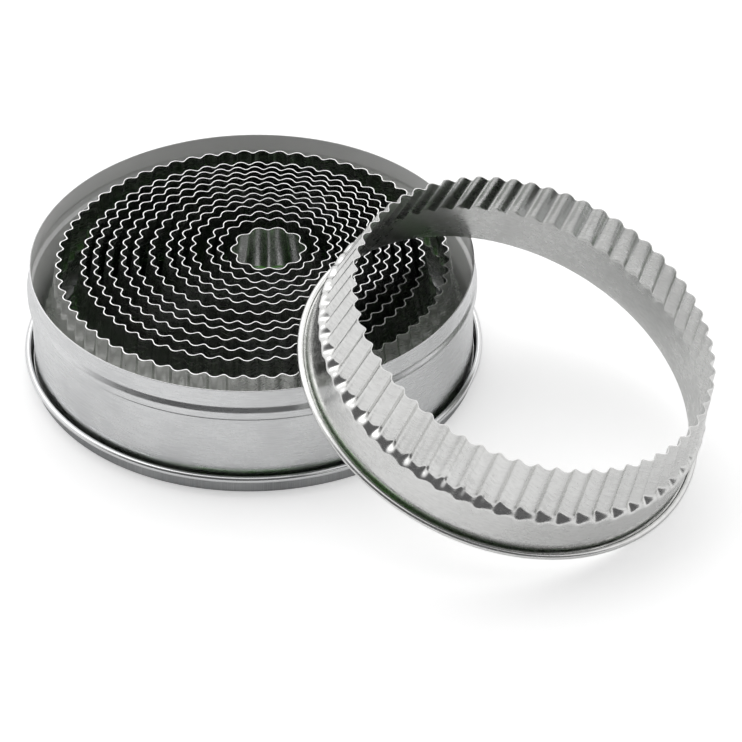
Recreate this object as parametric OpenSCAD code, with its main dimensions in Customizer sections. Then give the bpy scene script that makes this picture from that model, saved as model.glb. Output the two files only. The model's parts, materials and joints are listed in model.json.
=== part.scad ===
// Boxed set of fourteen round fluted biscuit cutters.
// Thirteen stand nested in an open round tin, cutting edges up. The tin stands in its own
// upturned lid, and the second largest cutter leans on the tin's rim.
// The origin is on the table under the middle of the lid, and +Z is up.

/* [Sheet metal] */
// Thickness of the cutters' strip
strip_t = 0.35; // [0.25:0.05:0.5]
// Thickness of the tin's sheet
tin_t = 0.35; // [0.25:0.05:0.5]
// Thickness of the lid's sheet
lid_t = 0.4; // [0.3:0.05:0.6]

/* [Cutters] */
// Sizes over the flutes at the cutting edge, largest first, which keep their proportions in another tin
cutter_sizes = [111, 103.5, 97, 90, 83, 76, 70, 62.5, 55, 49, 43, 36, 29, 21.5];
// Step in which the largest size is made
size_step = 0.5; // [0.25:0.25:1]
// Number of flutes round each cutter
flute_counts = [65, 61, 58, 54, 49, 45, 42, 37, 32, 29, 25, 21, 17, 10];
// Height of every cutter
cutter_h = 29.9; // [27:0.1:34]
// Angle at which the wall widens, from the cutting edge down to the rolled rim
wall_taper = 9.6; // [8:0.1:10]
// Length of the flutes, down from the cutting edge
flute_len = 14.6; // [10:0.1:17]
// Depth of the flutes, from crest to trough
flute_depth = 1.4; // [1:0.1:1.6]
// Least gap between the outsides of two neighbouring crests
crest_gap = 0.15; // [0.1:0.05:0.4]
// Height over which crests and troughs run out into the plain band
runout_h = 1.6; // [1:0.1:3]
// Diameter of the rolled rim
rim_roll = 2.2; // [1.6:0.1:2.3]

/* [Tin] */
// Outer radius of the tin's wall
tin_r = 62.5; // [56.5:0.1:66]
// Height of the tin, from the seam under it to the rim
tin_h = 33.4; // [32:0.1:40]
// Height of the plain collar above the bead
collar_h = 5.2; // [3:0.1:7]
// Height of the bead
bead_h = 4; // [2.5:0.1:6]
// How far the bead stands out of the wall
bead_out = 0.95; // [0.5:0.05:1.2]
// Height of the bead's upper flank
bead_flank = 1.8; // [1:0.1:2]
// Height of the ledge under the bead, which the lid stops on
bead_ledge = 0.6; // [0.4:0.1:1]
// Height of the seam that joins the base to the wall
seam_h = 2.2; // [1.5:0.1:3]
// Height of the base panel's top above the foot of the seam
panel_up = 2.3; // [1.8:0.1:3]

/* [Lid] */
// Inner radius of the lid's skirt
lid_r = 63.3; // [63.2:0.1:66]
// Height of the lid
lid_h = 6.2; // [4.5:0.1:9]
// Diameter of the lid's rolled lip
lid_roll = 1.9; // [1.2:0.1:2.4]
// Radius of the bend between the lid's panel and its skirt
lid_bend = 1.4; // [0.8:0.1:2.4]

/* [Where the pieces lie] */
// Gap under a piece that stands on another
seat_gap = 0.2; // [0.1:0.05:0.4]
// Least room round the largest rolled rim in the middle of the tin
tin_room = 0.5; // [0.4:0.05:1]
// Least gap between the rolled rims of two nested cutters
nest_gap = 0.25; // [0.15:0.05:0.4]
// Places that the nested cutters have slid to, from the tin's axis, largest first
nest_places = [[1, 0.3], [0, 0], [0.2, 1], [0, 2.7], [0.9, 4.4], [1.2, 4.5], [2.9, 5], [3, 6.5],
    [3.5, 6.6], [4.4, 7.3], [5.8, 7.1], [5.9, 6.4], [4.4, 6.6], [4.5, 5.5]];
// Angle of a flute's crest on each cutter
crest_turns = [5.6, 0, 2.7, 3.9, 3.2, 4.6, 0.8, 7.9, 7.6, 1.6, 10.5, 16.4, 15.1, 2];
// Direction in which the leaning cutter lies from the tin
lean_azimuth = -33; // [-60:0.5:0]
// Tilt of the leaning cutter
lean_tilt = 21; // [16:0.1:26]
// Gap between the leaning cutter and what it rests on
lean_gap = 0.25; // [0.05:0.01:0.3]

/* [Hidden] */
$fn = 64;
CREST_SHARE = 0.43;
CUT_H = 1;
LEANING = 2;
COUNT = len(cutter_sizes);
function cutter_name(k) = str("cutter_", k < 10 ? "0" : "", k);
STEEL = [0.78, 0.79, 0.8];
TIN = [0.72, 0.73, 0.74];
OVERLAP = 0.1;

// The wall is one cone, and crests stand out of it and troughs sink into it
crest_h = flute_depth * CREST_SHARE;
trough_h = flute_depth - crest_h;
flute_z = cutter_h - flute_len;
function edge_r(k) = size_share * cutter_sizes[k - 1] / 2 - crest_h;
function wall_r(k, z) = edge_r(k) + (cutter_h - z) * tan(wall_taper);

// A crest's section is a circle that grows with the wall, so that it just clears its neighbours
function crest_r(k, z) =
    let (s = sin(180 / flute_counts[k - 1]))
    ((wall_r(k, z) + crest_h) * s - crest_gap / 2) / (1 + s);
function crest_c(k, z) = wall_r(k, z) + crest_h - crest_r(k, z);

// The wall's inner face runs tangent into the rolled rim
roll_r = rim_roll / 2;
rim_reach = (cutter_h - roll_r) * tan(wall_taper) - strip_t + roll_r / cos(wall_taper);
foot_z = roll_r * (1 + sin(wall_taper));
function rim_r(k) = edge_r(k) + rim_reach;

// The largest cutter has the largest size that the tin has room for, and the others keep to its share
room_r = tin_r - tin_t - tin_room - roll_r - rim_reach + crest_h;
largest_size = floor(2 * room_r / size_step) * size_step;
size_share = largest_size / cutter_sizes[0];

// Heights above the table
tin_z = lid_t + seat_gap;
rim_z = tin_z + tin_h;
panel_z = tin_z + panel_up;
nest_z = panel_z + seat_gap;

// A nested cutter slides sideways until its rolled rim meets the next one or the tin
function outer_of(k) = k - 1 == LEANING ? k - 2 : k - 1;
function play(k) = k == 1
    ? tin_r - tin_t - rim_r(1) - roll_r - nest_gap
    : edge_r(outer_of(k)) - edge_r(k) - (rim_roll + nest_gap) / cos(wall_taper);
function held(v, reach) = norm(v) > reach ? v * reach / norm(v) : v;
function place(k) =
    let (from = k == 1 ? [0, 0] : place(outer_of(k)))
    from + held(nest_places[k - 1] - from, play(k));

// The leaning cutter's rolled rim touches the table at its lowest point and the tin's rim at two
lean_z = lean_gap + roll_r + rim_r(LEANING) * sin(lean_tilt) - roll_r * cos(lean_tilt);
function rim_point(d, turn) =
    [d + roll_r * sin(lean_tilt), 0, lean_z + roll_r * cos(lean_tilt)]
    + rim_r(LEANING) * [-cos(turn) * cos(lean_tilt), sin(turn), cos(turn) * sin(lean_tilt)];
function off_rim(p) =
    let (r = norm([p.x, p.y]))
    r < tin_r && p.z < rim_z ? 0 : norm([max(0, r - tin_r, tin_r - tin_t - r), p.z - rim_z]);
function rests(d) = min([for (turn = [0:1:120]) off_rim(rim_point(d, turn))]) > roll_r + lean_gap;
function lean_reach(near, far, n) =
    let (d = (near + far) / 2)
    n == 0 ? far : rests(d) ? lean_reach(near, d, n - 1) : lean_reach(d, far, n - 1);
lean_d = lean_reach(tin_r / 2, tin_r + rim_r(LEANING), 20);

// The wall as a solid of revolution, as wide as the troughs above the band, closed on the axis
module wall_solid(k, back, low, high) {
    step_z = flute_z + runout_h;
    rotate_extrude()
        polygon([
            [0, low],
            [wall_r(k, low) - back, low],
            [wall_r(k, flute_z) - back, flute_z],
            [wall_r(k, step_z) - trough_h - back, step_z],
            [wall_r(k, high) - trough_h - back, high],
            [0, high]
        ]);
}

// Round bars that lie along the wall, one for each crest, with their lower ends run out into it
module crest_bars(k, back) {
    top_z = cutter_h + CUT_H;
    end_z = flute_z - runout_h;
    out = crest_c(k, end_z) - crest_c(k, top_z);
    tilt = atan(out / (top_z - end_z));
    limit_r = wall_r(k, flute_z) + crest_h + OVERLAP - back;
    intersection() {
        for (i = [0:flute_counts[k - 1] - 1])
            rotate(360 * i / flute_counts[k - 1])
                translate([crest_c(k, top_z), 0, top_z])
                    rotate([0, 180 - tilt, 0])
                        cylinder(
                            h = norm([out, top_z - end_z]),
                            r1 = crest_r(k, top_z) - back,
                            r2 = crest_r(k, end_z) - back
                        );
        rotate_extrude()
            polygon([
                [0, flute_z],
                [wall_r(k, flute_z) - back, flute_z],
                [limit_r, flute_z + runout_h],
                [limit_r, top_z + CUT_H],
                [0, top_z + CUT_H]
            ]);
    }
}

// One cutter, with its rolled rim on z = 0 and its cutting edge up
module cutter(k) {
    difference() {
        union() {
            wall_solid(k, 0, foot_z, cutter_h);
            crest_bars(k, 0);
        }
        union() {
            wall_solid(k, strip_t, foot_z - OVERLAP, cutter_h + CUT_H);
            crest_bars(k, strip_t);
        }
        translate([0, 0, cutter_h])
            cylinder(h = 3 * CUT_H, r = edge_r(k) + flute_depth);
    }
    rotate_extrude()
        translate([rim_r(k), roll_r])
            circle(roll_r);
}

module nested_cutter(k) {
    at = place(k);
    color(STEEL)
        translate([at.x, at.y, nest_z])
            rotate(crest_turns[k - 1])
                cutter(k);
}

module leaning_cutter() {
    color(STEEL)
        rotate(lean_azimuth)
            translate([lean_d, 0, lean_z])
                rotate([0, lean_tilt, 0])
                    cutter(LEANING);
}

// The wall's outline at a given distance inside its outer face
function wall_line(back) = [
    [tin_r - back, rim_z],
    [tin_r - back, rim_z - collar_h],
    [tin_r + bead_out - back, rim_z - collar_h - bead_flank],
    [tin_r + bead_out - back, rim_z - collar_h - bead_h + bead_ledge],
    [tin_r - back, rim_z - collar_h - bead_h],
    [tin_r - back, tin_z + tin_t + OVERLAP / 2]
];

module tin_wall() {
    outside = wall_line(0);
    inside = wall_line(tin_t);
    color(TIN)
        rotate_extrude()
            polygon(concat(outside, [for (i = [len(inside) - 1:-1:0]) inside[i]]));
}

// The base panel stands up inside the wall, and its hem folds round the wall's foot
module tin_base() {
    slack = OVERLAP / 2;
    hem_r = tin_r + slack + tin_t;
    well_r = tin_r - tin_t - slack - tin_t;
    color(TIN)
        rotate_extrude()
            polygon([
                [0, panel_z],
                [0, panel_z - tin_t],
                [well_r - tin_t, panel_z - tin_t],
                [well_r, tin_z],
                [hem_r, tin_z],
                [hem_r, tin_z + seam_h],
                [tin_r + slack, tin_z + seam_h],
                [tin_r + slack, tin_z + tin_t],
                [well_r + tin_t, tin_z + tin_t],
                [well_r, panel_z]
            ]);
}

module lid() {
    color(TIN) {
        rotate_extrude()
            difference() {
                union() {
                    square([lid_r + lid_t - lid_bend, lid_bend]);
                    translate([lid_r + lid_t - lid_bend, lid_bend])
                        circle(lid_bend);
                    translate([0, lid_bend])
                        square([lid_r + lid_t, lid_h - lid_roll / 2 - lid_bend]);
                }
                translate([0, lid_t])
                    square([lid_r - lid_bend + lid_t, lid_bend]);
                translate([lid_r + lid_t - lid_bend, lid_bend])
                    circle(lid_bend - lid_t);
                translate([-OVERLAP, lid_bend])
                    square([lid_r + OVERLAP, lid_h]);
            }
        rotate_extrude()
            translate([lid_r + lid_roll / 2, lid_h - lid_roll / 2])
                circle(lid_roll / 2);
    }
}

lid();
tin_wall();
tin_base();
for (k = [1:COUNT])
    union() {
        if (k == LEANING) leaning_cutter();
        else nested_cutter(k);
    }
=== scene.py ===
"""A nested set of round fluted biscuit cutters in a tin, in a plain studio."""
import json
import math

import bmesh
import bpy
from mathutils import Euler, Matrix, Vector

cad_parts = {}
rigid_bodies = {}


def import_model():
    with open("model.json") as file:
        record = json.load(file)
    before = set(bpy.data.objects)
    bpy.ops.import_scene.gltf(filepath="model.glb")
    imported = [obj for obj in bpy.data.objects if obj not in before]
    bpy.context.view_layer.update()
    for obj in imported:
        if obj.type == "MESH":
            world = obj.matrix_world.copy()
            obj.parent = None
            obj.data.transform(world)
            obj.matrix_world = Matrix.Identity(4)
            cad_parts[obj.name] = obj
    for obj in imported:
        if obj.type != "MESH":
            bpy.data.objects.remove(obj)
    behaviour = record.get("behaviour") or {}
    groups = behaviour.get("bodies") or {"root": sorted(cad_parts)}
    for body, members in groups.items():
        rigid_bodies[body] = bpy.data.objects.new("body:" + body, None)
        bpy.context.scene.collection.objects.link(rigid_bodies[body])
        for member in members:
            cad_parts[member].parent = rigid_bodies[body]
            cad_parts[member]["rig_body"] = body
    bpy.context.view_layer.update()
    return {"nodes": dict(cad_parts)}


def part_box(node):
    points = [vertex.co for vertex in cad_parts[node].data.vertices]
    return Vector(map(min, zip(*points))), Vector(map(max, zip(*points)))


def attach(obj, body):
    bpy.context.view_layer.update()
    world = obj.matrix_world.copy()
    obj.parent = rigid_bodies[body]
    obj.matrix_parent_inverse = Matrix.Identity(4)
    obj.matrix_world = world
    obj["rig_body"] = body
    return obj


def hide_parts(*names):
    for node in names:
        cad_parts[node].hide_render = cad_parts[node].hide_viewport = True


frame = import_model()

MM = 0.001
ORIGIN = Vector((0, 0, 0))
MERGE_GAP = 0.001 * MM

bl_info = {
    "name": "Fluted biscuit cutters",
    "version": (1, 0, 0),
    "blender": (4, 5, 0),
    "location": "3D View > Sidebar > Cutters",
    "description": "Dresses a nested set of fluted cutters, its tin and its lid",
    "category": "Object",
}

LEANING = "cutter_02"
# A tilted box doesn't give the leaning cutter's width over its flutes
LEANING_WIDTH = 103.5 * MM
FLUTES = {
    "cutter_01": 65, "cutter_02": 61, "cutter_03": 58, "cutter_04": 54, "cutter_05": 49,
    "cutter_06": 45, "cutter_07": 42, "cutter_08": 37, "cutter_09": 32, "cutter_10": 29,
    "cutter_11": 25, "cutter_12": 21, "cutter_13": 17, "cutter_14": 10,
}
# Turn of each cutter's first crest about its axis, in degrees
CREST_TURNS = {
    "cutter_01": 5.6, "cutter_02": 0, "cutter_03": 2.7, "cutter_04": 3.9, "cutter_05": 3.2,
    "cutter_06": 4.6, "cutter_07": 0.8, "cutter_08": 7.9, "cutter_09": 7.6, "cutter_10": 1.6,
    "cutter_11": 10.5, "cutter_12": 16.4, "cutter_13": 15.1, "cutter_14": 2,
}


def length(name, description, mm, low=0.0, high=1000.0):
    """A size that is given in millimetres and kept in metres."""
    return bpy.props.FloatProperty(
        name=name, description=description, default=mm * MM, min=low * MM, max=high * MM,
        subtype="DISTANCE", unit="LENGTH", precision=5)


def angle(name, description, degrees):
    return bpy.props.FloatProperty(
        name=name, description=description, default=math.radians(degrees), subtype="ANGLE")


def share(name, description, value):
    return bpy.props.FloatProperty(
        name=name, description=description, default=value, min=0.0, max=1.0, subtype="FACTOR")


def place(name, description, metres):
    return bpy.props.FloatVectorProperty(
        name=name, description=description, default=metres, size=3, subtype="TRANSLATION",
        unit="LENGTH")


def tint(name, description, rgb):
    return bpy.props.FloatVectorProperty(
        name=name, description=description, default=rgb, size=3, min=0.0, max=1.0,
        subtype="COLOR")


class CutterSizes(bpy.types.PropertyGroup):
    """Sizes that all the cutters share"""
    strip: length("Strip", "Thickness of the strip", 0.35)
    flute_depth: length("Flute depth", "Depth of a flute, from crest to trough", 1.4)
    flute_length: length("Flute length", "Length of a flute, down from the cutting edge", 14.6)
    sharpness: share("Trough sharpness", "How much narrower a trough is than a crest", 0.14)
    foot_bend: length("Foot's bend", "Radius of the bend between the band and its foot", 0.49)
    crest_end: length("Crest's end", "Height over which a crest runs out into the band", 2.0)
    scoop: length("Scoop", "Height over which a trough runs out into the band", 3.0)
    height: length("Height", "Height of a cutter", 29.9)
    taper: angle("Taper", "How much the fluted wall widens downwards", 9.6)
    shoulder: length("Shoulder", "How far the band's top stands outside the wall's mean", 1.5)
    reach: length(
        "Reach", "How far the rolled rim stands outside the cutting edge's mean", 6.74)
    curl: length("Curl", "Diameter of the curl in the rolled rim", 1.75)
    groove: length("Groove", "Width of the groove between the band and the curl", 0.42)
    lean_azimuth: angle("Direction", "Direction in which the loose cutter leans", -33)
    lean_tilt: angle("Tilt", "Tilt of the loose cutter", 21)


class TinSizes(bpy.types.PropertyGroup):
    """Sizes of the tin and its lid"""
    sheet: length("Tin sheet", "Thickness of the tin's sheet", 0.35)
    collar: length("Collar", "Height of the plain collar above the bead", 5.2)
    bead: length("Bead", "Height of the bead", 4.0)
    bead_out: length("Bead's reach", "How far the bead stands out of the wall", 0.95)
    bead_flank: length("Bead's flank", "Height of the bead's upper flank", 1.8)
    bead_ledge: length("Bead's ledge", "Height of the ledge under the bead", 0.6)
    bead_face: length("Bead's face", "Height by which the bead's flat face passes its ledge", 0.3)
    bead_start: length("Bead's start", "How far the flank starts above the collar's foot", 0.2)
    crease: length("Crease", "Depth of the rolled crease under the bead", 0.14)
    crease_height: length("Crease's height", "Height of the rolled crease", 0.55)
    edge_break: length("Edge break", "How far the sheet's cut edge is broken", 0.08)
    hem_break: length("Hem break", "How far the hem's outer corner is broken", 0.3)
    hem_lip: length("Hem's lip", "How far the hem's upper edge is broken", 0.1)
    hem_gap: length("Hem gap", "Room between the base and the wall that it is hemmed on", 0.05)
    panel_up: length("Panel", "Height of the base panel above the foot of the seam", 2.3)
    lid_sheet: length("Lid sheet", "Thickness of the lid's sheet", 0.4)
    lip: length("Lip", "Diameter of the lid's rolled lip", 1.9)
    bend: length("Bend", "Radius of the bend between the lid's panel and its skirt", 1.4)


class Finish(bpy.types.PropertyGroup):
    """Colours and polish of the metal"""
    steel: tint("Strip steel", "Colour of the cutters", (0.83, 0.83, 0.82))
    steel_dull: tint(
        "Dull steel", "Colour of the cutters in their lines and marks", (0.69, 0.69, 0.68))
    tinplate: tint("Tinplate", "Colour of the tin", (0.76, 0.765, 0.77))
    tin_dull: tint(
        "Dull tinplate", "Colour of the tin in its lines and marks", (0.64, 0.645, 0.65))
    # The lid's colour is set darker than its plate's own, as painted shade for the shadowed floor
    # that the skirt mirrors
    lid_plate: tint("Lid plate", "Colour of the lid", (0.44, 0.445, 0.45))
    lid_dull: tint(
        "Dull lid plate", "Colour of the lid in its lines and marks", (0.26, 0.265, 0.27))
    # The rolled lip's lighter colour is a painted highlight
    lip_painted_highlight: tint(
        "Bright lip", "Colour of the lid's rolled lip, where hands polish it", (0.76, 0.765, 0.77))
    lip_polish: share("Lip polish", "How much smoother the lid's rolled lip is", 0.6)
    steel_rough: share("Steel roughness", "Least roughness of the cutters", 0.14)
    steel_satin: share("Steel satin", "How much rougher the loose cutter is inside", 0.07)
    tin_rough: share("Tin roughness", "Least roughness of the tin", 0.18)
    tin_satin: share("Tin satin", "How much rougher the tin is inside", 0.3)
    tin_film: share("Tin film", "How much of a dull film lies on the tin inside", 0.85)
    film_tint: tint("Film", "Colour of the dull film inside the tin", (0.86, 0.86, 0.85))
    lid_rough: share("Lid roughness", "Least roughness of the lid", 0.26)


class StudioSizes(bpy.types.PropertyGroup):
    """The camera's place, the floor, the lamp and the room's tones"""
    eye: place("Camera", "The camera's place", (0.03343, -0.8541, 0.6381))
    pitch: angle("Pitch", "How far the camera looks down", 37.028)
    lens: bpy.props.FloatProperty(
        name="Lens", description="Focal length in millimetres", default=180.6, min=1.0)
    floor: length("Floor", "Width of the floor", 6000, high=20000)
    floor_tint: tint("Floor's colour", "Colour of the floor", (0.82, 0.82, 0.82))
    floor_glow: share("Floor's glow", "Light added to the floor that the camera sees", 0.47)
    mirrored_glow: share("Mirrored glow", "Light added to the floor that metal mirrors", 0.18)
    lamp: place("Lamp", "The lamp's place", (-0.5, 0.7, 1.4))
    lamp_width: length("Lamp's width", "Width of the lamp", 2400, high=5000)
    lamp_depth: length("Lamp's depth", "Depth of the lamp", 1600, high=5000)
    lamp_power: bpy.props.FloatProperty(
        name="Lamp's power", description="Power of the lamp in watts", default=9.0, min=0.0)
    pale: tint("Pale side", "Tone of the room above and behind", (0.95, 0.95, 0.95))
    dim: tint("Dim side", "Tone of the room on the camera's side", (0.12, 0.12, 0.122))
    nest_dim: tint("Nest's dim", "Tone that deep reflections see all round", (0.05, 0.055, 0.05))
    nest_green: tint("Nest's green", "Tone that deep reflections see above", (0.17, 0.62, 0.07))


GROUPS = (("cutter_sizes", CutterSizes), ("tin_sizes", TinSizes), ("finish", Finish),
          ("studio_sizes", StudioSizes))


# Modelling helpers

def nothing_selected():
    if bpy.context.object and bpy.context.object.mode != "OBJECT":
        bpy.ops.object.mode_set(mode="OBJECT")
    bpy.ops.object.select_all(action="DESELECT")


def draw_outline(name, points):
    """Draws an outline of edges in the XZ plane, by extruding one vertex from point to point."""
    nothing_selected()
    bpy.ops.mesh.primitive_plane_add(size=MM, enter_editmode=True, location=(0, 0, 0))
    piece = bpy.context.object
    piece.name = piece.data.name = name
    bpy.ops.mesh.select_mode(type="VERT")
    bpy.ops.mesh.select_all(action="SELECT")
    bpy.ops.mesh.merge(type="CENTER")
    bpy.ops.transform.translate(value=(points[0][0], 0, points[0][1]))
    for here, there in zip(points, points[1:]):
        step = (there[0] - here[0], 0, there[1] - here[1])
        bpy.ops.mesh.extrude_vertices_move(TRANSFORM_OT_translate={"value": step})
    return piece


def spin_round(steps, turn, copies=False):
    bpy.ops.mesh.select_all(action="SELECT")
    bpy.ops.mesh.spin(steps=steps, dupli=copies, angle=turn, center=ORIGIN, axis=(0, 0, 1))


def close_shell():
    """Merges what meets and turns the faces outwards."""
    bpy.ops.mesh.select_all(action="SELECT")
    bpy.ops.mesh.remove_doubles(threshold=MERGE_GAP)
    bpy.ops.mesh.select_all(action="SELECT")
    bpy.ops.mesh.normals_make_consistent(inside=False)
    bpy.ops.object.mode_set(mode="OBJECT")


def smooth(piece, degrees=35):
    nothing_selected()
    piece.select_set(True)
    bpy.context.view_layer.objects.active = piece
    bpy.ops.object.shade_smooth_by_angle(angle=math.radians(degrees))


def note_sides(piece):
    """Writes down, for the materials, which points face the axis and how high they stand."""
    mesh = piece.data
    inner = mesh.attributes.new("inner", "FLOAT", "POINT")
    rise = mesh.attributes.new("rise", "FLOAT", "POINT")
    facing = [v.normal.x * v.co.x + v.normal.y * v.co.y for v in mesh.vertices]
    inner.data.foreach_set("value", [1.0 if f < 0 else 0.0 for f in facing])
    rise.data.foreach_set("value", [v.co.z / MM for v in mesh.vertices])


def settle(piece, at=ORIGIN, turn=(0, 0, 0)):
    """Puts the mesh at its place and leaves its object at the origin."""
    nothing_selected()
    piece.select_set(True)
    bpy.context.view_layer.objects.active = piece
    piece.rotation_euler = Euler(turn)
    piece.location = at
    bpy.ops.object.transform_apply(location=True, rotation=True, scale=True)


def arc(centre, radius, start, end, count):
    """Points on an arc, with angles in degrees from +X towards +Z."""
    turns = [math.radians(start + (end - start) * i / count) for i in range(count + 1)]
    return [(centre[0] + radius * math.cos(t), centre[1] + radius * math.sin(t)) for t in turns]


def turned(name, outline, steps=288):
    """A closed piece of revolution about the Z axis."""
    piece = draw_outline(name, outline + outline[:1])
    spin_round(steps, 2 * math.pi)
    close_shell()
    smooth(piece)
    note_sides(piece)
    return piece


def dress(piece, node, material):
    """Gives a finished piece its material, and puts it in its node's place."""
    piece.data.materials.clear()
    piece.data.materials.append(material)
    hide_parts(node)
    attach(piece, frame["nodes"][node]["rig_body"])


# Cutters

def smoothstep(x):
    x = min(1.0, max(0.0, x))
    return x * x * (3 - 2 * x)


def wall_out(sizes, z):
    """How far the middle of the fluted wall stands outside the cutting edge's mean radius."""
    return (sizes.height - z) * math.tan(sizes.taper)


def band_out(sizes, z):
    """How far the plain band's outer face stands outside the cutting edge's mean radius."""
    top_z = sizes.height - sizes.flute_length - sizes.scoop
    top = wall_out(sizes, top_z) + sizes.shoulder
    foot = sizes.reach - sizes.curl - sizes.groove
    return top + (foot - top) * (top_z - z) / top_z


def flute_rows(sizes, steps=8):
    """Heights of the rows of points in the flutes, from the scoops' feet up to the edge."""
    end = sizes.height - sizes.flute_length
    scoop = [end - sizes.scoop * (1 - i / steps) for i in range(steps + 1)]
    return scoop + [sizes.height]


def flute_swing(sizes, phase, z):
    """How far the wall stands outside the cutting edge's mean radius, across the flute."""
    end = sizes.height - sizes.flute_length
    wave = math.cos(phase) - sizes.sharpness * math.cos(2 * phase)
    wave *= sizes.flute_depth / 2
    fluted = wall_out(sizes, z) + wave
    if z > end:
        return fluted
    trough = (1 - math.cos(phase)) / 2
    run_out = sizes.crest_end + (sizes.scoop - sizes.crest_end) * trough
    fade = smoothstep((end - z) / run_out)
    return fluted + (band_out(sizes, z) - fluted) * fade


def strip_outline(sizes, mean):
    """The strip's section: down the inside, round the curl and up the outside."""
    rows = flute_rows(sizes)
    curl = sizes.curl / 2
    centre = (sizes.reach - curl, curl)
    band = [rows[0] * i / 5 for i in range(4, 0, -1)]
    bend = sizes.foot_bend
    corner = (band_out(sizes, 0) - sizes.strip + bend, bend)
    down = [(band_out(sizes, z) - sizes.strip, z) for z in [*reversed(rows), *band]]
    under = arc(corner, bend, 180, 270, 4) + arc(centre, curl, 270, 570, 26)
    up = [(band_out(sizes, z), z) for z in (sizes.strip, *reversed(band), *rows)]
    return [(mean + r, z) for r, z in down + under + up]


def fluted_ring(name, node, columns=16):
    """One cutter on the Z axis: a flute is drawn, waved and copied round."""
    sizes = bpy.context.scene.cutter_sizes
    count = FLUTES[node]
    pitch = 2 * math.pi / count
    mean = mean_radius(node)
    outline = strip_outline(sizes, mean)
    piece = draw_outline(name, outline + outline[:1])
    spin_round(columns, pitch)
    rows = flute_rows(sizes)
    mesh = bmesh.from_edit_mesh(piece.data)
    places = {}
    for vert in mesh.verts:
        row = min(rows, key=lambda z: abs(z - vert.co.z))
        if abs(row - vert.co.z) < MERGE_GAP and vert.co.z > rows[0] + MERGE_GAP:
            turn = math.atan2(vert.co.y, vert.co.x) * count
            phase = round(abs(math.remainder(turn, 2 * math.pi)), 3)
            places[vert.index] = (phase, row)
    for spot in sorted(set(places.values())):
        drawn = band_out(sizes, spot[1])
        shift = flute_swing(sizes, *spot) - drawn
        if abs(shift) < MERGE_GAP / 10:
            continue
        mesh = bmesh.from_edit_mesh(piece.data)
        for vert in mesh.verts:
            vert.select_set(places.get(vert.index) == spot)
        mesh.select_flush_mode()
        grow = 1 + shift / (mean + drawn)
        bpy.ops.transform.resize(value=(grow, grow, 1), center_override=ORIGIN)
    spin_round(count - 1, pitch * (count - 1), copies=True)
    close_shell()
    smooth(piece, 40)
    note_sides(piece)
    return piece


def mean_radius(node):
    """The cutting edge's mean radius, from the node's width over its rolled rim."""
    sizes = bpy.context.scene.cutter_sizes
    if node == LEANING:
        return LEANING_WIDTH / 2 - sizes.flute_depth / 2 * (1 - sizes.sharpness)
    low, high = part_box(node)
    return (high.x - low.x) / 2 - sizes.reach


def seat(piece, node):
    """Moves a piece so that its box has the same middle as its node's box."""
    low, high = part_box(node)
    spots = [v.co for v in piece.data.vertices]
    own_low = Vector([min(s[i] for s in spots) for i in range(3)])
    own_high = Vector([max(s[i] for s in spots) for i in range(3)])
    settle(piece, (low + high) / 2 - (own_low + own_high) / 2)


class CUTTERS_OT_fluted_rings(bpy.types.Operator):
    """Model every fluted cutter in its place"""
    bl_idname = "cutters.fluted_rings"
    bl_label = "Fluted cutters"

    def execute(self, context):
        sizes = context.scene.cutter_sizes
        for node in sorted(FLUTES):
            ring = fluted_ring(node.replace("cutter", "ring"), node)
            settle(ring, turn=(0, 0, math.radians(CREST_TURNS[node])))
            if node == LEANING:
                settle(ring, turn=(0, sizes.lean_tilt, 0))
                settle(ring, turn=(0, 0, sizes.lean_azimuth))
            seat(ring, node)
            dress(ring, node, strip_steel(node))
        return {"FINISHED"}


class CUTTERS_OT_tin(bpy.types.Operator):
    """Model the tin's wall and base"""
    bl_idname = "cutters.tin"
    bl_label = "Tin"

    def execute(self, context):
        sizes = context.scene.tin_sizes
        low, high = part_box("tin_wall")
        wall_r = (high.x - low.x) / 2 - sizes.bead_out
        wall = turned("tin_shell", wall_outline(sizes, wall_r, low.z, high.z))
        dress(wall, "tin_wall", tin_plate("tin_wall"))
        low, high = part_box("tin_base")
        hem_r = (high.x - low.x) / 2
        base = turned("tin_floor", base_outline(sizes, wall_r, hem_r, low.z, high.z), steps=256)
        dress(base, "tin_base", tin_plate("tin_base"))
        return {"FINISHED"}


def wall_outline(sizes, wall_r, foot, rim):
    """The tin wall's section: down the outside over the bead, and back up the inside."""
    skin, edge = sizes.sheet, sizes.edge_break
    collar_z = rim - sizes.collar
    bead_z = collar_z - sizes.bead
    flank = sizes.bead_flank + sizes.bead_start
    outside = [(wall_r - edge, rim), (wall_r, rim - edge)]
    outside += [(wall_r, collar_z + 2 * sizes.bead_start)]
    outside += [(wall_r + sizes.bead_out * smoothstep(i / 8),
                 collar_z + sizes.bead_start - flank * i / 8) for i in range(1, 9)]
    outside += [(wall_r + sizes.bead_out, bead_z + sizes.bead_ledge + sizes.bead_face)]
    outside += [(wall_r + sizes.bead_out * (1 - smoothstep(i / 6)),
                 bead_z + sizes.bead_ledge * (1 - i / 6)) for i in range(7)]
    outside += [(wall_r - sizes.crease * math.sin(math.pi * i / 6),
                 bead_z - sizes.crease_height * i / 6) for i in range(1, 7)]
    outside += [(wall_r, bead_z - MM), (wall_r, foot)]
    inside = [(r - skin, z) for r, z in reversed(outside)]
    inside[-1] = (wall_r - skin + edge, rim)
    return outside + inside


def base_outline(sizes, wall_r, hem_r, foot, top):
    """The base's section: the raised panel, its well and the hem round the wall's foot."""
    skin, corner = sizes.sheet, sizes.hem_break
    well_r = wall_r - skin - sizes.hem_gap - skin
    panel_z = foot + sizes.panel_up
    lip = sizes.hem_lip
    panel = [(0, panel_z), (0, panel_z - skin), (well_r - skin, panel_z - skin), (well_r, foot)]
    hem = [(hem_r - corner, foot), (hem_r, foot + corner), (hem_r, top - lip), (hem_r - lip, top),
           (hem_r - skin, top), (hem_r - skin, foot + skin)]
    return panel + hem + [(well_r + skin, foot + skin), (well_r, panel_z)]


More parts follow.
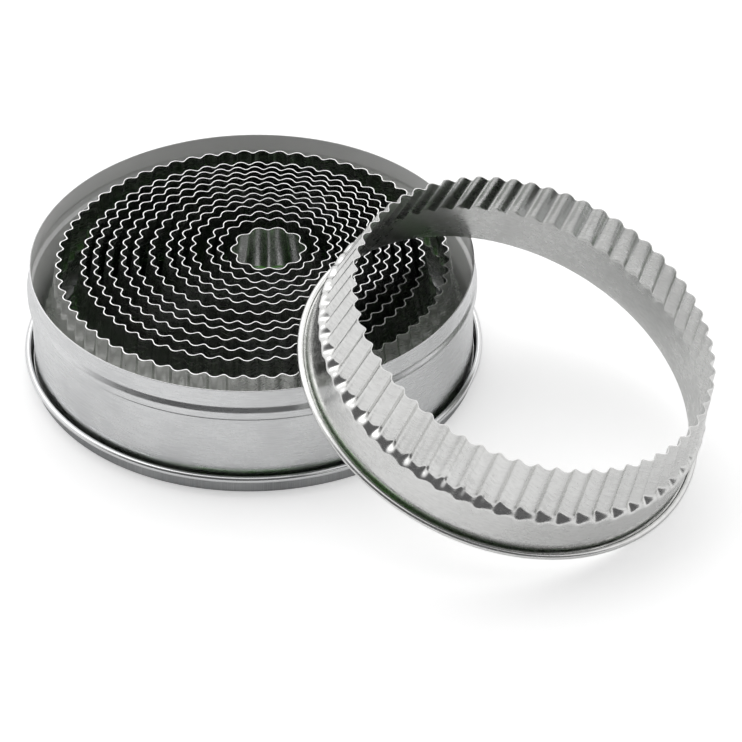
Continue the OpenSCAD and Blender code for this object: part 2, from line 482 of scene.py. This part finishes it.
class CUTTERS_OT_lid(bpy.types.Operator):
    """Model the lid that the tin stands in"""
    bl_idname = "cutters.lid"
    bl_label = "Lid"

    def execute(self, context):
        sizes = context.scene.tin_sizes
        low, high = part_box("lid")
        lip = sizes.lip / 2
        skirt_r = (high.x - low.x) / 2 - 2 * lip
        skin = sizes.lid_sheet
        bend = sizes.bend
        corner = (skirt_r + skin - bend, bend)
        roll = (skirt_r + lip, high.z - lip)
        outline = [(0, 0)] + arc(corner, bend, -90, 0, 8)
        outline += [(skirt_r + skin, roll[1] - lip)]
        outline += arc(roll, lip, 270, 540, 20)
        outline += arc(corner, bend - skin, 0, -90, 8) + [(0, skin)]
        pan = turned("lid_pan", outline)
        dress(pan, "lid", lid_plate())
        return {"FINISHED"}


# Materials

def link(tree, out, into):
    tree.links.new(out, into)


def new_group(name, inputs, outputs):
    """A shader node group with named sockets, each input with its default."""
    group = bpy.data.node_groups.new(name, "ShaderNodeTree")
    for label, kind, value in inputs:
        socket = group.interface.new_socket(name=label, in_out="INPUT", socket_type=kind)
        if value is not None:
            socket.default_value = value
    for label, kind in outputs:
        group.interface.new_socket(name=label, in_out="OUTPUT", socket_type=kind)
    return group, group.nodes.new("NodeGroupInput"), group.nodes.new("NodeGroupOutput")


def maths(tree, operation, *values):
    """A Math node, whose inputs are numbers or other nodes' outputs."""
    node = tree.nodes.new("ShaderNodeMath")
    node.operation = operation
    for socket, value in zip(node.inputs, values):
        if isinstance(value, (int, float)):
            socket.default_value = value
        else:
            link(tree, value, socket)
    return node.outputs[0]


def ramp(tree, value, zero, one):
    """A soft step from 0 to 1 between two values."""
    node = tree.nodes.new("ShaderNodeMapRange")
    node.interpolation_type = "SMOOTHSTEP"
    node.inputs["From Min"].default_value = zero
    node.inputs["From Max"].default_value = one
    link(tree, value, node.inputs["Value"])
    return node.outputs["Result"]


def mixed(tree, factor, a, b):
    """A colour between two, each a colour or another node's output."""
    node = tree.nodes.new("ShaderNodeMix")
    node.data_type = "RGBA"
    link(tree, factor, node.inputs["Factor"])
    for label, value in (("A", a), ("B", b)):
        if isinstance(value, bpy.types.NodeSocket):
            link(tree, value, node.inputs[label])
        else:
            node.inputs[label].default_value = (*value, 1)
    return node.outputs["Result"]


def streaks_group():
    """Fine lines on a round piece: many around and few along it, or the other way about."""
    if "metal_streaks" in bpy.data.node_groups:
        return bpy.data.node_groups["metal_streaks"]
    group, given, made = new_group(
        "metal_streaks",
        [("Vector", "NodeSocketVector", None), ("Around", "NodeSocketFloat", 100.0),
         ("Along", "NodeSocketFloat", 100.0)],
        [("Lines", "NodeSocketFloat")])
    axes = group.nodes.new("ShaderNodeSeparateXYZ")
    link(group, given.outputs["Vector"], axes.inputs[0])
    turn = maths(group, "ARCTAN2", axes.outputs["Y"], axes.outputs["X"])
    spot = group.nodes.new("ShaderNodeCombineXYZ")
    for axis, way, count in (("X", maths(group, "COSINE", turn), "Around"),
                             ("Y", maths(group, "SINE", turn), "Around"),
                             ("Z", axes.outputs["Z"], "Along")):
        link(group, maths(group, "MULTIPLY", way, given.outputs[count]), spot.inputs[axis])
    noise = group.nodes.new("ShaderNodeTexNoise")
    noise.inputs["Scale"].default_value = 1.0
    noise.inputs["Detail"].default_value = 4.0
    noise.inputs["Roughness"].default_value = 0.6
    link(group, spot.outputs[0], noise.inputs["Vector"])
    link(group, ramp(group, noise.outputs["Fac"], 0.3, 0.7), made.inputs["Lines"])
    return group


def handling_group():
    """Soft clouds and small spots where the metal has been handled, washed and dried."""
    if "handling_marks" in bpy.data.node_groups:
        return bpy.data.node_groups["handling_marks"]
    group, given, made = new_group(
        "handling_marks",
        [("Vector", "NodeSocketVector", None), ("Cloud Scale", "NodeSocketFloat", 60.0),
         ("Spot Scale", "NodeSocketFloat", 500.0)],
        [("Clouds", "NodeSocketFloat"), ("Spots", "NodeSocketFloat")])
    for label, detail, low, high, out in (("Cloud Scale", 5.0, 0.35, 0.75, "Clouds"),
                                          ("Spot Scale", 2.0, 0.62, 0.74, "Spots")):
        noise = group.nodes.new("ShaderNodeTexNoise")
        noise.inputs["Detail"].default_value = detail
        link(group, given.outputs["Vector"], noise.inputs["Vector"])
        link(group, given.outputs[label], noise.inputs["Scale"])
        link(group, ramp(group, noise.outputs["Fac"], low, high), made.inputs[out])
    return group


def placed(tree, node_group, vector, **values):
    node = tree.nodes.new("ShaderNodeGroup")
    node.node_tree = node_group
    link(tree, vector, node.inputs["Vector"])
    for label, value in values.items():
        node.inputs[label.replace("_", " ")].default_value = value
    return node


def noted(tree, label):
    """A value that note_sides wrote down."""
    node = tree.nodes.new("ShaderNodeAttribute")
    node.attribute_name = label
    return node.outputs["Fac"]


# How much the soft clouds, the drawn lines and the small spots dull the metal's colour
CLOUD_SHARE, LINE_SHARE, SPOT_SHARE = 0.45, 0.45, 0.1
# How much the clouds roughen the metal, as a share of what the lines do
CLOUD_GRAIN = 0.8


def metal(name, node, colour, dull, rough, lines, turn=(0, 0, 0), satin=0.0):
    """Bare metal with drawn lines in its colour, polish and surface. lines holds the counts
    around and along, how far the lines roughen the metal, and their depth in millimetres.
    satin is how much rougher the metal is on the side that faces the axis."""
    material = bpy.data.materials.new(name)
    material.use_nodes = True
    tree = material.node_tree
    shader = tree.nodes["Principled BSDF"]
    shader.inputs["Metallic"].default_value = 1.0
    around, along, grain, depth = lines
    low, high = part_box(node)
    where = tree.nodes.new("ShaderNodeTexCoord")
    own = tree.nodes.new("ShaderNodeMapping")
    own.vector_type = "TEXTURE"
    own.inputs["Location"].default_value = (low + high) / 2
    own.inputs["Rotation"].default_value = turn
    link(tree, where.outputs["Object"], own.inputs["Vector"])
    drawn = placed(tree, streaks_group(), own.outputs[0], Around=around, Along=along)
    marks = placed(tree, handling_group(), own.outputs[0])
    shade = maths(tree, "MULTIPLY_ADD", marks.outputs["Clouds"], CLOUD_SHARE,
                  maths(tree, "MULTIPLY", drawn.outputs["Lines"], LINE_SHARE))
    shade = maths(tree, "MULTIPLY_ADD", marks.outputs["Spots"], SPOT_SHARE, shade)
    link(tree, mixed(tree, shade, colour, dull), shader.inputs["Base Color"])
    polish = maths(tree, "MULTIPLY_ADD", drawn.outputs["Lines"], grain, rough)
    if satin:
        polish = maths(tree, "MULTIPLY_ADD", noted(tree, "inner"), satin, polish)
    polish = maths(tree, "MULTIPLY_ADD", marks.outputs["Clouds"], grain * CLOUD_GRAIN, polish)
    link(tree, polish, shader.inputs["Roughness"])
    relief = tree.nodes.new("ShaderNodeBump")
    relief.inputs["Distance"].default_value = depth * MM
    link(tree, drawn.outputs["Lines"], relief.inputs["Height"])
    link(tree, relief.outputs[0], shader.inputs["Normal"])
    return material


def fed_by(shader, label):
    """The output that feeds one of the shader's sockets."""
    return shader.inputs[label].links[0].from_socket


def strip_steel(node):
    finish = bpy.context.scene.finish
    sizes = bpy.context.scene.cutter_sizes
    leans = node == LEANING
    return metal(node.replace("cutter", "steel"), node, finish.steel, finish.steel_dull,
                 finish.steel_rough, (26, 1500, 0.12, 0.006),
                 turn=(0, sizes.lean_tilt, sizes.lean_azimuth) if leans else (0, 0, 0),
                 satin=finish.steel_satin if leans else 0.0)


def tin_plate(node):
    """Tinplate, bright outside and under a dull film inside."""
    finish = bpy.context.scene.finish
    plate = metal(node + "_plate", node, finish.tinplate, finish.tin_dull, finish.tin_rough,
                  (14, 3000, 0.14, 0.004), satin=finish.tin_satin)
    tree = plate.node_tree
    shader = tree.nodes["Principled BSDF"]
    film = maths(tree, "MULTIPLY", noted(tree, "inner"), finish.tin_film)
    link(tree, mixed(tree, film, fed_by(shader, "Base Color"), finish.film_tint),
         shader.inputs["Base Color"])
    link(tree, maths(tree, "SUBTRACT", 1.0, film), shader.inputs["Metallic"])
    return plate


def lid_plate():
    """Lid plate with upright brush marks, polished by hands along its rolled lip; its colour is
    darkened as painted shade, and lightened along the lip as a painted highlight.
    """
    finish = bpy.context.scene.finish
    sizes = bpy.context.scene.tin_sizes
    plate = metal("lid_plate", "lid", finish.lid_plate, finish.lid_dull, finish.lid_rough,
                  (260, 40, 0.16, 0.008))
    tree = plate.node_tree
    shader = tree.nodes["Principled BSDF"]
    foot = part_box("lid")[1].z - sizes.lip
    # Along the rolled lip the colour is lightened as a painted highlight, and the roughness is
    # lowered for its polish
    lip = ramp(tree, noted(tree, "rise"), foot / MM, (foot + sizes.lip / 6) / MM)
    link(tree, mixed(tree, lip, fed_by(shader, "Base Color"), finish.lip_painted_highlight),
         shader.inputs["Base Color"])
    worn = maths(tree, "MULTIPLY_ADD", lip, -finish.lip_polish, 1.0)
    link(tree, maths(tree, "MULTIPLY", fed_by(shader, "Roughness"), worn),
         shader.inputs["Roughness"])
    return plate


# Studio

# How far the floor lies under the lid, so that the two don't share a plane
FLOOR_DROP = 0.02 * MM
# Sine of the bearing at which the room starts to grow dim towards the camera, and where it is dim
DIM_FROM, DIM_TO = 0.0, -0.45
# Height in the room, as a share of straight up, under which its camera side is dim
DIM_UNDER, DIM_FULLY_UNDER = 0.96, 0.88
# Where the green is, and how far round it that reaches, fading
GREEN_AIM = (0.0, -0.1, 0.99)
GREEN_EDGE, GREEN_MIDDLE = 0.55, 0.25
# Number of mirrorings from which a reflection counts as deep
DEEP = 2.5


class CUTTERS_OT_studio(bpy.types.Operator):
    """Set the camera, the floor, the lamp and the room"""
    bl_idname = "cutters.studio"
    bl_label = "Studio"

    def execute(self, context):
        sizes = context.scene.studio_sizes
        nothing_selected()
        tilt = (math.pi / 2 - sizes.pitch, 0, 0)
        bpy.ops.object.camera_add(location=sizes.eye, rotation=tilt)
        camera = context.object
        camera.data.lens = sizes.lens
        camera.data.sensor_width = 36
        camera.data.clip_end = 50
        context.scene.camera = camera
        lay_floor(sizes)
        hang_lamp(sizes)
        build_room(sizes)
        context.scene.view_settings.view_transform = "Standard"
        return {"FINISHED"}


def lay_floor(sizes):
    """A plain pale floor, which glows for the camera and for metal that mirrors it."""
    nothing_selected()
    bpy.ops.mesh.primitive_plane_add(size=sizes.floor, location=(0, 0, -FLOOR_DROP))
    ground = bpy.context.object
    ground.name = "floor"
    bpy.ops.object.transform_apply(location=True, rotation=True, scale=True)
    material = bpy.data.materials.new("white_floor")
    material.use_nodes = True
    tree = material.node_tree
    shader = tree.nodes["Principled BSDF"]
    shader.inputs["Base Color"].default_value = (*sizes.floor_tint, 1)
    shader.inputs["Roughness"].default_value = 0.9
    shader.inputs["Specular IOR Level"].default_value = 0.1
    path = tree.nodes.new("ShaderNodeLightPath")
    mirrored = maths(tree, "MULTIPLY", path.outputs["Is Glossy Ray"], sizes.mirrored_glow)
    seen = maths(tree, "MULTIPLY_ADD", path.outputs["Is Camera Ray"], sizes.floor_glow, mirrored)
    glow = tree.nodes.new("ShaderNodeEmission")
    link(tree, seen, glow.inputs["Strength"])
    both = tree.nodes.new("ShaderNodeAddShader")
    link(tree, shader.outputs[0], both.inputs[0])
    link(tree, glow.outputs[0], both.inputs[1])
    link(tree, both.outputs[0], tree.nodes["Material Output"].inputs["Surface"])
    ground.data.materials.append(material)


def hang_lamp(sizes):
    """One large soft lamp, aimed at the middle of the set."""
    nothing_selected()
    bpy.ops.object.light_add(type="AREA", location=sizes.lamp)
    lamp = bpy.context.object
    lamp.data.shape = "RECTANGLE"
    lamp.data.size = sizes.lamp_width
    lamp.data.size_y = sizes.lamp_depth
    lamp.data.energy = sizes.lamp_power
    aim = Vector((0.02, 0, 0)) - lamp.location
    lamp.rotation_euler = aim.to_track_quat("-Z", "Y").to_euler()


def build_room(sizes):
    """White to the camera. Metal mirrors it pale above and behind, dim on the camera's side,
    and, mirrored deep in the nest, dim all round with a soft green overhead."""
    world = bpy.data.worlds.new("room")
    bpy.context.scene.world = world
    world.use_nodes = True
    tree = world.node_tree
    where = tree.nodes.new("ShaderNodeTexCoord").outputs["Generated"]
    path = tree.nodes.new("ShaderNodeLightPath")
    axes = tree.nodes.new("ShaderNodeSeparateXYZ")
    link(tree, where, axes.inputs[0])
    dark = maths(tree, "MULTIPLY", ramp(tree, axes.outputs["Y"], DIM_FROM, DIM_TO),
                 ramp(tree, axes.outputs["Z"], DIM_UNDER, DIM_FULLY_UNDER))
    aim = tree.nodes.new("ShaderNodeVectorMath")
    aim.operation = "DISTANCE"
    aim.inputs[1].default_value = GREEN_AIM
    link(tree, where, aim.inputs[0])
    green = ramp(tree, aim.outputs["Value"], GREEN_EDGE, GREEN_MIDDLE)
    deep = maths(tree, "GREATER_THAN", path.outputs["Glossy Depth"], DEEP)
    view = mixed(tree, deep, mixed(tree, dark, sizes.pale, sizes.dim),
                 mixed(tree, green, sizes.nest_dim, sizes.nest_green))
    back = tree.nodes["Background"]
    link(tree, mixed(tree, path.outputs["Is Camera Ray"], view, (1, 1, 1)), back.inputs["Color"])
    back.inputs["Strength"].default_value = 1.0


class CUTTERS_PT_panel(bpy.types.Panel):
    """Lists the steps"""
    bl_idname = "CUTTERS_PT_panel"
    bl_label = "Fluted cutters"
    bl_space_type = "VIEW_3D"
    bl_region_type = "UI"
    bl_category = "Cutters"

    def draw(self, context):
        for step in STEPS:
            self.layout.operator(step.bl_idname)
        for name, _ in GROUPS:
            group = getattr(context.scene, name)
            box = self.layout.box()
            for key in group.__annotations__:
                box.prop(group, key)


STEPS = (CUTTERS_OT_lid, CUTTERS_OT_tin, CUTTERS_OT_fluted_rings, CUTTERS_OT_studio)


def register():
    for name, group in GROUPS:
        bpy.utils.register_class(group)
        setattr(bpy.types.Scene, name, bpy.props.PointerProperty(type=group))
    for step in STEPS:
        bpy.utils.register_class(step)
    bpy.utils.register_class(CUTTERS_PT_panel)


def unregister():
    bpy.utils.unregister_class(CUTTERS_PT_panel)
    for step in reversed(STEPS):
        bpy.utils.unregister_class(step)
    for name, group in reversed(GROUPS):
        delattr(bpy.types.Scene, name)
        bpy.utils.unregister_class(group)


def main():
    register()
    bpy.ops.cutters.lid()
    bpy.ops.cutters.tin()
    bpy.ops.cutters.fluted_rings()
    bpy.ops.cutters.studio()


if __name__ == "__main__":
    main()
